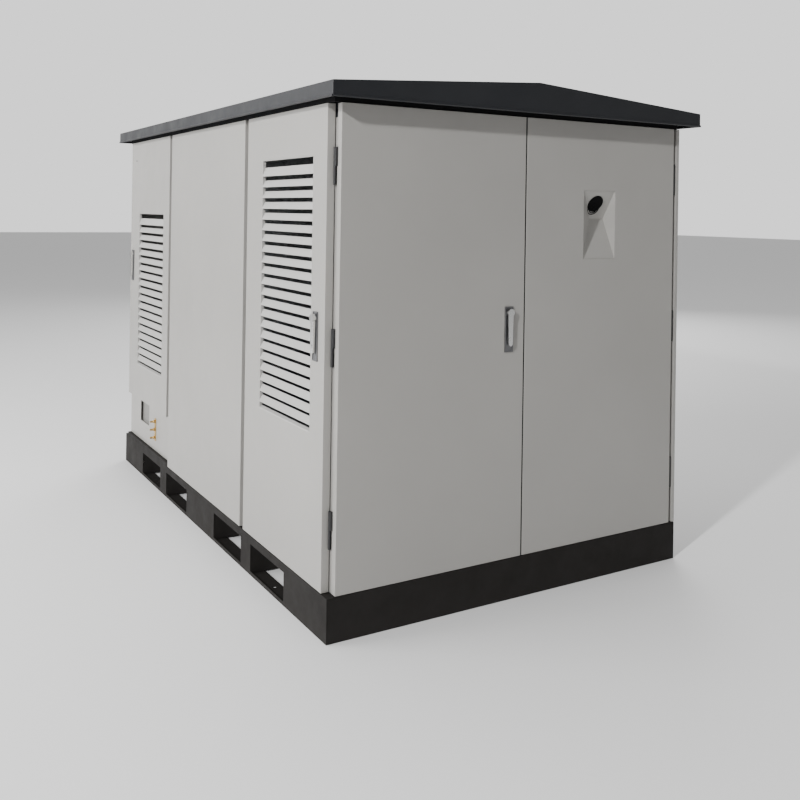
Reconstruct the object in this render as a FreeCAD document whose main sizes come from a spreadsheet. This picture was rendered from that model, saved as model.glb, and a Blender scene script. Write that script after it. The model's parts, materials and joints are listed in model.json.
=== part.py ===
import FreeCAD, Part
import os
import re
import Sketcher

# A compact kiosk substation: a steel skid, a folded-sheet enclosure with a low gable roof, six hinged
# doors, and the transformer, the low-voltage board and the ring-main unit that it houses.
# The frame: origin on the ground under the middle of the skid, +X across, +Y along, +Z up. The short
# front end with the low-voltage doors faces -Y. All lengths are in millimetres.

# How many of each repeated thing there are.
NEAR_ROWS = 23
FAR_ROWS = 20
FIN_COUNT = 12
SLOT_ROWS = 12
SLOT_COLUMNS = 2
STRIP_COUNT = 8
HIGH_SHEDS = 6
LOW_SHEDS = 3
# The four low-voltage terminals, counted in pitches from the middle.
LOW_PLACES = (-1.5, -0.5, 0.5, 1.5)

SIZES = [
    # skid
    ("base_width", 1960),
    ("base_length", 3120),
    ("base_height", 185),
    ("base_plate", 6),
    ("base_flange", 80),
    ("cross_flange", 60),
    ("pocket_width", 390),
    ("pocket_height", 128),
    ("pocket_sill", 18),
    ("pocket_end", 427),
    ("pocket_gap", 125),
    ("anchor_radius", 11),
    ("anchor_inset", 45),
    ("kerb_height", 22),
    ("kerb_depth", 33),
    ("floor_plate", 3),
    ("entry_width", 700),
    ("entry_length", 260),
    ("entry_inset", 150),
    # enclosure
    ("frame_inset", 40),
    ("frame_sheet", 3),
    ("post_leg", 60),
    ("rail_height", 83),
    ("nose_width", 20),
    ("nose_gap", 18),
    ("corner_gap", 54),
    ("door_sheet", 2.5),
    ("door_depth", 35),
    ("door_height", 1988),
    ("door_gap", 44),
    ("side_door_width", 866),
    ("leaf_side", 37),
    ("leaf_gap", 8),
    ("lower_panel_height", 267),
    ("lower_panel_inset", 20),
    ("lower_clear", 3),
    ("notch_width", 196),
    ("notch_depth", 141),
    ("notch_start", 432),
    ("earth_start", 286),
    ("earth_width", 30),
    ("earth_height", 139),
    ("earth_stud_pitch", 50),
    ("earth_stud_length", 30),
    ("mullion_lap", 20),
    ("window_width", 640),
    ("window_height", 150),
    # louvres and hoods
    ("louvre_width", 550),
    ("pitches_per_door", 39.76),
    ("louvre_depth", 15),
    ("louvre_head", 5),
    ("louvre_sheet", 1.5),
    ("blade_lip", 5),
    ("blade_rise", 30),
    ("blade_drop", 18),
    ("top_blade_extra", 10),
    ("near_louvre_start", 128),
    ("near_louvre_drop", 215),
    ("far_louvre_start", 112),
    ("far_louvre_drop", 481),
    ("hood_width", 560),
    ("hood_height", 668),
    ("hood_depth", 54),
    ("hood_start", 6),
    ("hood_drop", 289),
    ("slot_length", 220),
    ("slot_height", 14),
    ("slot_pitch", 46),
    # hinges
    ("hinge_radius", 6),
    ("hinge_length", 155),
    ("hinge_side", 7),
    ("hinge_end", 255),
    ("hinge_plate", 5),
    ("shallow_axis", 6),
    ("deep_axis", 30),
    ("corner_axis", 43),
    ("pin_radius", 3.5),
    ("pin_clear", 0.4),
    # handles
    ("handle_height", 204),
    ("handle_width", 46),
    ("handle_plate", 5),
    ("lever_length", 150),
    ("lever_width", 27),
    ("lever_thick", 11),
    ("tip_height", 8),
    ("tip_taper", 3),
    ("tip_corner", 9),
    ("lever_gap", 3),
    ("boss_radius", 17),
    ("spindle_radius", 6),
    ("spindle_clear", 0.4),
    ("cam_length", 42),
    ("cam_width", 14.4),
    ("cam_thick", 4),
    ("cam_gap", 6),
    ("key_radius", 8),
    ("key_drop", 117),
    ("pivot_top", 26),
    ("leaf_handle_edge", 85),
    ("side_handle_edge", 83),
    ("far_handle_edge", 68),
    ("leaf_handle_rise", 1106),
    ("side_handle_rise", 1108),
    ("far_handle_rise", 949),
    # recessed hopper in the front right leaf
    ("scoop_width", 199),
    ("scoop_upper", 131),
    ("scoop_lower", 188),
    ("scoop_land", 6),
    ("scoop_depth", 80),
    ("scoop_taper_left", 106),
    ("scoop_taper_right", 4),
    ("scoop_start", 343),
    ("scoop_drop", 323),
    ("port_radius", 38),
    ("port_share", 0.53),
    ("port_across", 0.53),
    ("port_flange", 6),
    ("port_depth", 16),
    ("port_clear", 0.3),
    # roof
    ("roof_overhang_side", 50),
    ("roof_overhang_end", 90),
    ("roof_sheet", 3),
    ("rim_above_doors", 14),
    ("fascia_height", 61),
    ("ridge_rise", 72),
    ("rim_radius", 5),
    ("soffit_rise", 10),
    ("seat_gap", 0.3),
    # transformer
    ("tank_width", 1040),
    ("tank_length", 470),
    ("tank_height", 820),
    ("tank_wall", 5),
    ("tank_feet", 90),
    ("fin_depth", 170),
    ("fin_thick", 12),
    ("fin_pitch", 80),
    ("fin_inset", 60),
    ("cover_plate", 10),
    ("cover_lap", 25),
    ("core_limb", 150),
    ("core_window", 165),
    ("core_height", 640),
    ("coil_clear", 3),
    ("coil_wall", 45),
    ("coil_margin", 12),
    ("hv_bushing_height", 300),
    ("hv_bushing_radius", 38),
    ("hv_bushing_pitch", 280),
    ("lv_bushing_height", 130),
    ("lv_bushing_radius", 28),
    ("lv_bushing_pitch", 160),
    ("bushing_offset", 120),
    ("hv_shed_radius", 62),
    ("lv_shed_radius", 42),
    ("stem_share", 0.86),
    ("stud_share", 0.35),
    ("shed_share", 0.06),
    ("first_shed", 0.12),
    ("shed_span", 0.7),
    ("tap_radius", 32),
    ("tap_height", 38),
    ("tap_grip_width", 12.8),
    ("tap_grip_height", 60.8),
    ("tap_offset", 455),
    # low-voltage board
    ("board_width", 1240),
    ("board_height", 1500),
    ("board_foot", 80),
    ("board_sheet", 3),
    ("board_flange", 60),
    ("board_back", 420),
    ("strip_width", 90),
    ("strip_height", 620),
    ("strip_depth", 110),
    ("strip_pitch", 118),
    ("strip_bottom", 420),
    ("bar_thick", 10),
    ("bar_height", 60),
    ("isolator_width", 300),
    ("isolator_height", 240),
    ("isolator_depth", 130),
    ("isolator_top", 190),
    ("switch_length", 120),
    ("switch_radius", 22),
    # ring-main unit
    ("ring_width", 980),
    ("ring_length", 520),
    ("ring_height", 1200),
    ("ring_sheet", 3),
    ("ring_back", 600),
    ("ring_lever_rise", 864),
    ("ring_lever_length", 168),
    ("cable_radius", 17),
    ("cable_bend", 120),
]

# Places worked out from the sizes, as formulas in the same sheet.
PLACES = [
    ("half_width", "base_width / 2"),
    ("half_length", "base_length / 2"),
    ("floor_top", "base_height + floor_plate"),
    ("door_bottom", "floor_top"),
    ("door_top", "door_bottom + door_height"),
    ("frame_half_width", "half_width - frame_inset"),
    ("frame_half_length", "half_length - frame_inset"),
    ("soffit_bottom", "door_top + rim_above_doors + soffit_rise"),
    ("rail_bottom", "soffit_bottom + frame_sheet - rail_height"),
    ("near_door_start", "corner_gap - half_length"),
    ("near_door_end", "near_door_start + side_door_width"),
    ("far_door_end", "-near_door_start"),
    ("far_door_start", "-near_door_end"),
    ("far_door_bottom", "floor_top + kerb_height - floor_plate + lower_panel_height + lower_clear"),
    ("bulkhead_place", "near_door_end + door_gap / 2"),
    ("mullion_width", "door_gap + 2 * mullion_lap"),
    ("pocket_first", "pocket_end - half_length"),
    ("pocket_second", "pocket_first + pocket_width + pocket_gap"),
    ("left_leaf_start", "leaf_side - half_width"),
    ("left_leaf_width", "half_width - leaf_side - leaf_gap / 2"),
    ("right_leaf_end", "half_width - nose_width - nose_gap"),
    ("right_leaf_width", "right_leaf_end - leaf_gap / 2"),
    ("rim_bottom", "door_top + rim_above_doors"),
    ("scoop_low", "door_top - scoop_drop - scoop_upper - scoop_land - scoop_lower"),
    ("louvre_pitch", "door_height / pitches_per_door"),
    ("near_louvre_low", "door_top - near_louvre_drop - louvre_pitch * %d" % NEAR_ROWS),
    ("far_louvre_low", "door_top - far_louvre_drop - louvre_pitch * %d" % FAR_ROWS),
    ("hood_low", "door_top - hood_drop - hood_height"),
    ("eave_top", "rim_bottom + fascia_height"),
    ("ridge_top", "eave_top + ridge_rise"),
    ("roof_half_width", "half_width + roof_overhang_side"),
    ("roof_half_length", "half_length + roof_overhang_end"),
    ("tank_bottom", "floor_top + tank_feet"),
    ("tank_top", "tank_bottom + tank_height"),
    ("fin_reach", "min(fin_depth; -bulkhead_place - frame_sheet - tank_length / 2 - door_gap)"),
    ("cover_top", "tank_top + cover_plate"),
    ("core_width", "3 * core_limb + 2 * core_window"),
    ("coil_inner", "core_limb / sqrt(2) + coil_clear"),
    ("board_place", "board_back - frame_half_length"),
    ("bar_level", "cover_top + lv_bushing_height"),
    ("ring_front", "frame_half_length - ring_back"),
    ("cable_level", "cover_top + hv_bushing_height"),
]

doc = FreeCAD.newDocument("kiosk_substation")
sheet = doc.addObject("Spreadsheet::Sheet", "Sizes")
sub_parts = []


def fill_sheet():
    """Writes each size and each place worked out from the sizes, with its alias."""
    for row, (alias, size) in enumerate(SIZES, 1):
        sheet.set("A%d" % row, alias)
        sheet.set("B%d" % row, str(size))
        sheet.setAlias("B%d" % row, alias)
    for row, (alias, formula) in enumerate(PLACES, len(SIZES) + 1):
        sheet.set("A%d" % row, alias)
        sheet.set("B%d" % row, "=" + formula)
        sheet.setAlias("B%d" % row, alias)
    doc.recompute()


ALIASES = {alias for alias, value in SIZES + PLACES}


def bound(formula):
    """The formula with each alias written as a cell of the sheet."""
    return re.sub(r"[a-z][a-z_]+", lambda word: sheet_name(word.group()), str(formula))


def sheet_name(word):
    return "Sizes." + word if word in ALIASES else word


def place(thing, x=0, y=0, z=0):
    """Binds an object's position to three formulas."""
    for axis, formula in (("x", x), ("y", y), ("z", z)):
        thing.setExpression("Placement.Base." + axis, bound(formula))
    return thing


def turn(thing, axis, angle):
    """Sets an object's direction before its position is bound."""
    thing.Placement = FreeCAD.Placement(FreeCAD.Vector(), FreeCAD.Rotation(FreeCAD.Vector(*axis), angle))
    return thing


def box(x, y, z, dx, dy, dz):
    """A block with its low corner and its three sides given as formulas."""
    block = doc.addObject("Part::Box", "Block")
    for side, formula in (("Length", dx), ("Width", dy), ("Height", dz)):
        block.setExpression(side, bound(formula))
    return place(block, x, y, z)


def cylinder(x, y, z, radius, height, axis="z"):
    """A cylinder that starts at a point and runs along +X, +Y or +Z."""
    rod = doc.addObject("Part::Cylinder", "Rod")
    rod.setExpression("Radius", bound(radius))
    rod.setExpression("Height", bound(height))
    if axis == "x":
        turn(rod, (0, 1, 0), 90)
    if axis == "y":
        turn(rod, (1, 0, 0), -90)
    return place(rod, x, y, z)


def fuse(*pieces):
    """Pieces that are welded into one."""
    if len(pieces) == 1:
        return pieces[0]
    joined = doc.addObject("Part::MultiFuse", "Weldment")
    joined.Shapes = list(pieces)
    joined.Refine = True
    return joined


def cut(base, *tools):
    """The base with every tool taken out of it."""
    result = doc.addObject("Part::Cut", "Machined")
    result.Base = base
    result.Tool = fuse(*tools)
    return result


def group(*pieces):
    """Separate solids that share one sub-part."""
    bundle = doc.addObject("Part::Compound", "Set")
    bundle.Links = list(pieces)
    return bundle


def mirror(thing, normal):
    """The same piece on the other side of the middle plane with this normal."""
    copy = doc.addObject("Part::Mirroring", "Mirrored")
    copy.Source = thing
    copy.Base = FreeCAD.Vector()
    copy.Normal = FreeCAD.Vector(*normal)
    return copy


ACROSS = (1, 0, 0)
ALONG = (0, 1, 0)


def name(label, thing):
    """Gives a finished sub-part its name."""
    thing.Label = label
    sub_parts.append(thing)
    return thing


def origin_plane(body, role):
    return [item for item in body.Origin.OriginFeatures if item.Role == role][0]


def outline(body, title, plane, corners):
    """A closed polygon on an origin plane, each corner held by its two formulas from the origin."""
    sketch = body.newObject("Sketcher::SketchObject", title)
    sketch.AttachmentSupport = [(origin_plane(body, plane), "")]
    sketch.MapMode = "FlatFace"
    count = len(corners)
    ring = [FreeCAD.Rotation(FreeCAD.Vector(0, 0, 1), 360.0 * step / count).multVec(FreeCAD.Vector(500, 0, 0))
            for step in range(count)]
    for step in range(count):
        sketch.addGeometry(Part.LineSegment(ring[step], ring[(step + 1) % count]), False)
    for step in range(count):
        sketch.addConstraint(Sketcher.Constraint("Coincident", step, 2, (step + 1) % count, 1))
    for step, (across, up) in enumerate(corners):
        for kind, formula in (("DistanceX", across), ("DistanceY", up)):
            index = sketch.addConstraint(Sketcher.Constraint(kind, -1, 1, step, 1, 1.0))
            sketch.setExpression("Constraints[%d]" % index, bound(formula))
    return sketch


def pad(body, title, sketch, length, middle=False, back=False):
    """A pad of a sketch, on one side of it or on both."""
    feature = body.newObject("PartDesign::Pad", title)
    feature.Profile = sketch
    feature.setExpression("Length", bound(length))
    feature.Midplane = middle
    feature.Reversed = back
    return feature


def pocket(body, title, sketch, length, middle=False, back=False):
    """A pocket of a sketch, on one side of it or on both."""
    feature = body.newObject("PartDesign::Pocket", title)
    feature.Profile = sketch
    feature.setExpression("Length", bound(length))
    feature.Midplane = middle
    feature.Reversed = back
    return feature


def pattern(body, title, feature, direction, pitch, count):
    """The feature repeated in a row along a sketch axis."""
    row = body.newObject("PartDesign::LinearPattern", title)
    row.Originals = [feature]
    row.Direction = direction
    row.setExpression("Length", bound("%s * %d" % (pitch, count - 1)))
    row.Occurrences = count
    body.Tip = row
    return row


# ---------------------------------------------------------------- skid

def pocket_starts():
    """The low ends of the four fork pockets along Y."""
    return ("pocket_first", "pocket_second", "-pocket_second - pocket_width", "-pocket_first - pocket_width")


def anchor_places():
    """The two anchor holes of a rail, in the middle of its outer pockets."""
    middle = "(pocket_first + pocket_width / 2)"
    return (middle, "-" + middle)


def skid_rail():
    """A bent C-channel along the left side: a web with four fork pockets, and two inward flanges."""
    web = box("-half_width", "-half_length", 0, "base_plate", "base_length", "base_height")
    low = box("-half_width", "-half_length", 0, "base_flange", "base_length", "base_plate")
    high = box("-half_width", "-half_length", "base_height - base_plate", "base_flange", "base_length",
               "base_plate")
    pockets = [box("-half_width - base_plate", start, "pocket_sill", "3 * base_plate", "pocket_width",
                   "pocket_height") for start in pocket_starts()]
    anchors = [cylinder("anchor_inset - half_width", spot, "-base_plate", "anchor_radius", "3 * base_plate")
               for spot in anchor_places()]
    return cut(fuse(web, low, high), *pockets, *anchors)


def kerb():
    """The raised lip on top of the left rail, under the low fixed panel."""
    return box("-half_width", "far_door_start - door_gap + 2 * lower_clear", "base_height", "kerb_depth",
               "side_door_width + door_gap - 2 * lower_clear", "kerb_height")


def skid_end():
    """A bent C-channel across the front end, between the two rails."""
    inside = "(base_width - 2 * base_plate)"
    web = box("base_plate - half_width", "-half_length", "base_plate", inside, "base_plate",
              "base_height - 2 * base_plate")
    span = "(base_width - 2 * base_flange)"
    low = box("base_flange - half_width", "-half_length", 0, span, "base_flange", "base_plate")
    high = box("base_flange - half_width", "-half_length", "base_height - base_plate", span, "base_flange",
               "base_plate")
    return fuse(web, low, high)


def cross_member(middle):
    """A C-channel across the skid, between the webs of the rails, notched round their flanges."""
    body = doc.addObject("PartDesign::Body", "Channel")
    low = "base_plate"
    top = "base_height - base_plate"
    half = "cross_flange / 2"
    corners = [("-" + half, low), (half, low), (half, "2 * base_plate"), ("base_plate - " + half, "2 * base_plate"),
               ("base_plate - " + half, "base_height - 2 * base_plate"), (half, "base_height - 2 * base_plate"),
               (half, top), ("-" + half, top)]
    section = outline(body, "Section", "YZ_Plane", corners)
    pad(body, "Run", section, "base_width - 2 * base_plate", middle=True)
    return place(body, 0, middle, 0)


def build_skid():
    rail = skid_rail()
    name("skid_rail_right", mirror(rail, ACROSS))
    name("skid_rail_left", group(rail, kerb()))
    front = name("skid_end_front", skid_end())
    name("skid_end_rear", mirror(front, ALONG))
    between = "(pocket_second - pocket_gap / 2)"
    for label, middle in (("front", between), ("middle", "0"), ("rear", "-" + between)):
        name("cross_member_" + label, cross_member(middle))


def floor_sheet(start, length):
    return box("-frame_half_width", start, "base_height", "2 * frame_half_width", length, "floor_plate")


def build_floors():
    """Three floor plates on the skid; the outer two have a cable entry."""
    end_length = "frame_half_length + bulkhead_place"
    entry = box("-entry_width / 2", "entry_inset - frame_half_length", "base_height - floor_plate",
                "entry_width", "entry_length", "3 * floor_plate")
    front = name("floor_low_voltage", cut(floor_sheet("-frame_half_length", end_length), entry))
    name("floor_transformer", floor_sheet("bulkhead_place", "-2 * bulkhead_place"))
    name("floor_high_voltage", mirror(front, ALONG))


# ---------------------------------------------------------------- enclosure frame

def corner_post():
    """The folded angle behind the front left corner."""
    height = "rail_bottom - floor_top"
    side = box("-frame_half_width", "-frame_half_length", "floor_top", "frame_sheet", "post_leg", height)
    face = box("-frame_half_width", "-frame_half_length", "floor_top", "post_leg", "frame_sheet", height)
    return fuse(side, face)


def post_nose():
    """The folded nose beside the right leaf, flush with the door faces."""
    start = "half_width - nose_width"
    outer = box(start, "-half_length", "floor_top", "nose_width", "frame_inset", "door_height")
    inner = box(start + " + door_sheet", "door_sheet - half_length", "floor_top - door_sheet",
                "nose_width - 2 * door_sheet", "frame_inset - 2 * door_sheet", "door_height + 2 * door_sheet")
    return cut(outer, inner)


def build_posts():
    left = name("post_front_left", corner_post())
    name("post_rear_left", mirror(left, ALONG))
    right = name("post_front_right", fuse(mirror(left, ACROSS), nose_with_web()))
    name("post_rear_right", mirror(right, ALONG))


def nose_with_web():
    """The nose and the web that carries it from the corner angle, behind the leaf's hinges."""
    tongue = box("frame_half_width - frame_sheet", "-frame_half_length", "floor_top",
                 "frame_inset + frame_sheet", "frame_sheet", "rail_bottom - floor_top")
    return fuse(post_nose(), tongue)


def end_rail():
    """The top rail of the front end: a web behind the door tops, a lower flange and the soffit."""
    web = box("-frame_half_width", "-frame_half_length", "rail_bottom", "2 * frame_half_width", "frame_sheet",
              "rail_height")
    low = box("frame_sheet - frame_half_width", "-frame_half_length", "rail_bottom",
              "2 * (frame_half_width - frame_sheet)", "post_leg", "frame_sheet")
    reach = "(roof_half_width - roof_sheet - seat_gap)"
    soffit = box("-" + reach, "roof_sheet + seat_gap - roof_half_length", "soffit_bottom", "2 * " + reach,
                 "roof_overhang_end + frame_inset - roof_sheet - seat_gap + frame_sheet", "frame_sheet")
    return fuse(web, low, soffit)


def side_rail():
    """The top rail of the left side, between the two end rails."""
    start = "frame_sheet - frame_half_length"
    run = "2 * (frame_half_length - frame_sheet)"
    web = box("-frame_half_width", start, "rail_bottom", "frame_sheet", run, "rail_height")
    low = box("-frame_half_width", "post_leg - frame_half_length", "rail_bottom", "post_leg",
              "2 * (frame_half_length - post_leg)", "frame_sheet")
    soffit = box("roof_sheet + seat_gap - roof_half_width", start, "soffit_bottom",
                 "roof_overhang_side + frame_inset - roof_sheet - seat_gap + frame_sheet", run, "frame_sheet")
    return fuse(web, low, soffit)


def build_rails():
    front = name("top_rail_front", end_rail())
    name("top_rail_rear", mirror(front, ALONG))
    left = name("top_rail_left", side_rail())
    name("top_rail_right", mirror(left, ACROSS))


def partition(middle, start, level):
    """A sheet partition between two compartments: four plates welded round a window, and two side flanges.
    middle is the mullion's middle, start the sheet's front face, and level the window's middle."""
    tall = "(rail_bottom - floor_top)"
    sill_top = "(%s - window_height / 2)" % level
    sill = box("-window_width / 2", start, "floor_top", "window_width", "frame_sheet",
               "%s - floor_top" % sill_top)
    head = box("-window_width / 2", start, "%s + window_height" % sill_top, "window_width", "frame_sheet",
               "rail_bottom - window_height - %s" % sill_top)
    cheek = box("frame_sheet - frame_half_width", start, "floor_top",
                "frame_half_width - frame_sheet - window_width / 2", "frame_sheet", tall)
    flange = box("-frame_half_width", "%s - mullion_width / 2" % middle, "floor_top", "frame_sheet",
                 "mullion_width", tall)
    return group(sill, head, cheek, mirror(cheek, ACROSS), flange, mirror(flange, ACROSS))


def side_pan(start, bottom, width, height, depth, face="half_width"):
    """A folded sheet tray on the left side, open towards the inside."""
    outer = box("-" + face, start, bottom, depth, width, height)
    inner = box("door_sheet - " + face, "%s + door_sheet" % start, "%s + door_sheet" % bottom, depth,
                "%s - 2 * door_sheet" % width, "%s - 2 * door_sheet" % height)
    return outer, inner


def end_pan(start, width):
    """A folded sheet tray on the front end, open towards the inside."""
    outer = box(start, "-half_length", "door_bottom", width, "door_depth", "door_height")
    inner = box("%s + door_sheet" % start, "door_sheet - half_length", "door_bottom + door_sheet",
                "%s - 2 * door_sheet" % width, "door_depth", "door_height - 2 * door_sheet")
    return outer, inner


def build_panels():
    """The fixed panels: the plain one of the left side, the low one and the long one of the right side."""
    name("bulkhead_front", partition("bulkhead_place", "bulkhead_place", "bar_level"))
    name("bulkhead_rear", partition("-bulkhead_place", "-bulkhead_place - frame_sheet",
                                    "cable_level + cable_bend"))
    start = "(near_door_end + door_gap)"
    width = "(-2 * near_door_end - 2 * door_gap)"
    name("panel_left", cut(*side_pan(start, "door_bottom", width, "door_height", "frame_inset")))
    name("panel_low_left", low_panel())
    name("panel_right", right_panel())


def low_panel():
    """The low panel under the far door, with an open-topped notch in its face."""
    start = "far_door_start"
    bottom = "base_height + kerb_height"
    depth = "(frame_inset - lower_panel_inset)"
    face = "half_width + lower_panel_inset"
    outer = box("-" + face, start, bottom, depth, "side_door_width", "lower_panel_height")
    inner = box("-%s + door_sheet" % face, start + " + door_sheet", bottom + " + door_sheet",
                depth + " - 2 * door_sheet", "side_door_width - 2 * door_sheet",
                "lower_panel_height - 2 * door_sheet")
    notch = box("-%s - door_sheet" % face, start + " + notch_start",
                bottom + " + lower_panel_height - notch_depth", depth, "notch_width", "2 * notch_depth")
    return cut(outer, inner, notch)


def right_panel():
    """The long panel of the right side, with the air slots behind the two hoods."""
    start = "near_door_start"
    outer, inner = side_pan(start, "door_bottom", "(-2 * near_door_start)", "door_height", "frame_inset")
    slots = []
    for row in range(SLOT_ROWS):
        for column in range(SLOT_COLUMNS):
            middle = "hood_width / %d * %d" % (2 * SLOT_COLUMNS, 1 + 2 * column)
            y = "%s + hood_start + %s - slot_length / 2" % (start, middle)
            z = "hood_low + slot_pitch * %d" % (row + 1)
            slot = box("-half_width - door_sheet", y, z, "3 * door_sheet", "slot_length", "slot_height")
            slots += [slot, mirror(slot, ALONG)]
    return mirror(cut(outer, inner, *slots), ACROSS)


def hood():
    """A vent hood on the right side: a tray open at its bottom, folded from one sheet."""
    start = "(near_door_start + hood_start)"
    bottom = "hood_low"
    outer = box("half_width", start, bottom, "hood_depth", "hood_width", "hood_height")
    inner = box("half_width - door_sheet", start + " + door_sheet", bottom + " - door_sheet", "hood_depth",
                "hood_width - 2 * door_sheet", "hood_height")
    return cut(outer, inner)


def build_hoods():
    front = name("vent_hood_front", hood())
    name("vent_hood_rear", mirror(front, ALONG))


# ---------------------------------------------------------------- hinges and doors

def hinge_levels(bottom):
    """The three hinge middles of a door: one near each end and one half-way between them."""
    low = "(%s + hinge_end)" % bottom
    high = "(door_top - hinge_end)"
    return (low, "((%s + %s) / 2)" % (low, high), high)


def fixed_half(x, y, level, arm):
    """The half of a hinge that the frame carries: its lower barrel, its pin and its arm."""
    start = level + " - hinge_length / 2"
    barrel = cylinder(x, y, start, "hinge_radius", "hinge_length / 2 - pin_clear")
    pin = cylinder(x, y, start, "pin_radius", "hinge_length - 2 * hinge_plate")
    blade = box(*arm[:2], start, *arm[2:], "hinge_length / 2 - pin_clear")
    return fuse(barrel, pin, blade)


def moving_half(x, y, level, arms):
    """The half of a hinge that the door carries: its upper barrel, bored for the pin, and its arm."""
    barrel = cylinder(x, y, level, "hinge_radius", "hinge_length / 2")
    blades = [box(*arm[:2], level, *arm[2:], "hinge_length / 2") for arm in arms]
    bore = cylinder(x, y, level + " - hinge_plate", "pin_radius + pin_clear", "hinge_length")
    return cut(fuse(barrel, *blades), bore)


# Each hinge line: its axis, the arm of its fixed half and the arms of its moving half, seen from above as
# (x, y, width, depth). Rear doors are the front ones mirrored along Y.
HALF = "hinge_plate / 2"
CORNER_X = "(left_leaf_start - hinge_side)"
CORNER_Y = "(corner_axis - half_length)"
CORNER_LINE = (CORNER_X, CORNER_Y,
               (CORNER_X, CORNER_Y, "frame_inset - leaf_side + hinge_side", HALF),
               [(CORNER_X, "door_depth - half_length - hinge_plate", "hinge_side", "hinge_plate"),
                (CORNER_X + " - " + HALF, "door_depth - half_length - hinge_plate", "hinge_plate",
                 "corner_axis - door_depth + hinge_plate")])
NOSE_X = "(right_leaf_end + hinge_side)"
NOSE_Y = "(shallow_axis - half_length)"
NOSE_LINE = (NOSE_X, NOSE_Y,
             (NOSE_X + " - " + HALF, NOSE_Y, "hinge_plate", "frame_inset - shallow_axis"),
             [("right_leaf_end", NOSE_Y + " - " + HALF, "hinge_side", "hinge_plate")])
DEEP_X = "(deep_axis - half_width)"
NEAR_Y = "(near_door_end + hinge_side)"
NEAR_LINE = (DEEP_X, NEAR_Y,
             (DEEP_X, NEAR_Y + " - " + HALF, "frame_inset - deep_axis", "hinge_plate"),
             [(DEEP_X + " - " + HALF, "near_door_end", "hinge_plate", "hinge_side")])
FAR_Y = "(far_door_start - hinge_side)"
FAR_LINE = (DEEP_X, FAR_Y,
            (DEEP_X, FAR_Y + " - " + HALF, "frame_inset - deep_axis", "hinge_plate"),
            [(DEEP_X + " - " + HALF, "far_door_start - hinge_side", "hinge_plate", "hinge_side")])


def fixed_halves(line, bottom):
    x, y, arm, arms = line
    return [fixed_half(x, y, level, arm) for level in hinge_levels(bottom)]


def moving_halves(line, bottom):
    x, y, arm, arms = line
    return [moving_half(x, y, level, arms) for level in hinge_levels(bottom)]


def build_hinges():
    """The fixed halves of all eighteen hinges."""
    ends = fixed_halves(CORNER_LINE, "door_bottom") + fixed_halves(NOSE_LINE, "door_bottom")
    sides = fixed_halves(NEAR_LINE, "door_bottom") + fixed_halves(FAR_LINE, "far_door_bottom")
    rear = [mirror(half, ALONG) for half in ends]
    name("hinge_pins", group(*ends, *rear, *sides))


def spindle_hole(x, y, z, axis):
    return cylinder(x, y, z, "spindle_radius + spindle_clear", "3 * door_sheet", axis)


def leaf_handle_place():
    return ("(-leaf_gap / 2 - leaf_handle_edge)", "(door_bottom + leaf_handle_rise)")


def near_handle_place():
    return ("(near_door_start + side_handle_edge)", "(door_bottom + side_handle_rise)")


def far_handle_place():
    return ("(far_door_end - far_handle_edge)", "(far_door_bottom + far_handle_rise)")


def build_end_doors():
    """The two pairs of leaves; only the front right one has the hopper's opening."""
    outer, inner = end_pan("left_leaf_start", "left_leaf_width")
    x, z = leaf_handle_place()
    hole = spindle_hole(x, "-half_length - door_sheet", z, "y")
    tray = cut(outer, inner, hole)
    left = name("door_front_left", fuse(tray, *moving_halves(CORNER_LINE, "door_bottom")))
    name("door_rear_left", mirror(left, ALONG))
    outer, inner = end_pan("(leaf_gap / 2)", "right_leaf_width")
    halves = moving_halves(NOSE_LINE, "door_bottom")
    plain = fuse(cut(outer, inner), *halves)
    opening = box("leaf_gap / 2 + scoop_start", "-half_length - door_sheet", "scoop_low", "scoop_width",
                  "3 * door_sheet", "scoop_upper + scoop_land + scoop_lower")
    name("door_rear_right", mirror(plain, ALONG))
    name("door_front_right", cut(plain, opening))


def build_side_doors():
    """The two louvred doors of the left side."""
    outer, inner = side_pan("near_door_start", "door_bottom", "side_door_width", "door_height", "door_depth")
    y, z = near_handle_place()
    hole = spindle_hole("-half_width - door_sheet", y, z, "x")
    vent = box("-half_width - door_sheet", "near_door_start + near_louvre_start",
               "near_louvre_low", "3 * door_sheet", "louvre_width",
               "louvre_pitch * %d + louvre_head" % NEAR_ROWS)
    tray = cut(outer, inner, hole, vent)
    name("door_left_front", fuse(tray, *moving_halves(NEAR_LINE, "door_bottom")))
    outer, inner = side_pan("far_door_start", "far_door_bottom", "side_door_width",
                            "(door_top - far_door_bottom)", "door_depth")
    y, z = far_handle_place()
    hole = spindle_hole("-half_width - door_sheet", y, z, "x")
    vent = box("-half_width - door_sheet", "far_door_start + far_louvre_start",
               "far_louvre_low", "3 * door_sheet", "louvre_width",
               "louvre_pitch * %d + louvre_head" % FAR_ROWS)
    tray = cut(outer, inner, hole, vent)
    name("door_left_rear", fuse(tray, *moving_halves(FAR_LINE, "far_door_bottom")))


# ---------------------------------------------------------------- louvres


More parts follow.
